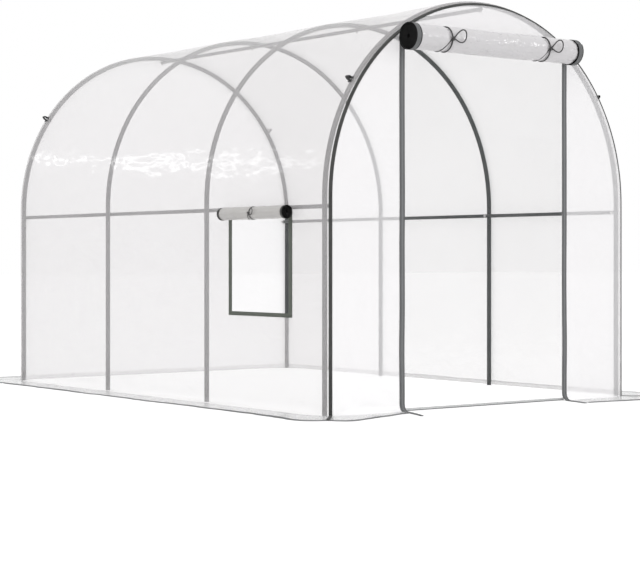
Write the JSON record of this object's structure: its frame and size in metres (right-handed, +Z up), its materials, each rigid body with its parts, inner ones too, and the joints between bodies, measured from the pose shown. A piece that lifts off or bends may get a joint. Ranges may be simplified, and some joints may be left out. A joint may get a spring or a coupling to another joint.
{
  "type": "polytunnel greenhouse",
  "caption": "Walk-in polytunnel greenhouse: steel hoops and rails under a clear film cover, with a rolled-up door at one end and a rolled-up window in a side wall.",
  "frame": {"origin": "on the ground in the middle of the tunnel", "axes": "+Z up, the door in the -Y end, the window in the -X wall"},
  "size_m": [2.4254, 3.588, 2.0323],
  "materials": {
    "steel_tube": "grey powder-coated steel tube",
    "clear_film": "clear polyethylene film with a milky haze",
    "ground_flap": "clear film flap, wrinkled, with a thin grey hem",
    "rolled_film": "many layers of rolled film, milky, crinkled",
    "binding_tape": "black woven binding tape",
    "zip_tape": "dark grey woven zip tape",
    "window_tape": "dark green-grey hook-and-loop tape",
    "cord": "black braided cord",
    "webbing": "black webbing"
  },
  "bodies": {
    "root": {"door_roll": "rolled_film", "door_roll_ends": "zip_tape", "door_roll_ties": "cord", "door_threshold": "binding_tape", "door_zips": "zip_tape", "front_binding": "binding_tape", "front_film_left": "clear_film", "front_film_over_door": "clear_film", "front_film_right": "clear_film", "front_flaps": "ground_flap", "guy_loops": "webbing", "hoop_1_arch": "steel_tube", "hoop_1_legs": "steel_tube", "hoop_2_arch": "steel_tube", "hoop_2_legs": "steel_tube", "hoop_3_arch": "steel_tube", "hoop_3_legs": "steel_tube", "hoop_4_arch": "steel_tube", "hoop_4_legs": "steel_tube", "left_film_front": "clear_film", "left_film_rear": "clear_film", "left_film_under_window": "clear_film", "left_rail": "steel_tube", "rear_film": "clear_film", "rear_flap": "ground_flap", "ridge_rail": "steel_tube", "right_film": "clear_film", "right_rail": "steel_tube", "roof_film_front_left_lower": "clear_film", "roof_film_front_left_upper": "clear_film", "roof_film_front_right_lower": "clear_film", "roof_film_front_right_upper": "clear_film", "roof_film_middle_left_lower": "clear_film", "roof_film_middle_left_upper": "clear_film", "roof_film_middle_right_lower": "clear_film", "roof_film_middle_right_upper": "clear_film", "roof_film_rear_left_lower": "clear_film", "roof_film_rear_left_upper": "clear_film", "roof_film_rear_right_lower": "clear_film", "roof_film_rear_right_upper": "clear_film", "side_flaps": "ground_flap", "window_roll": "rolled_film", "window_roll_ends": "binding_tape", "window_roll_tie": "cord", "window_trim": "window_tape"}
  },
  "joints": []
}
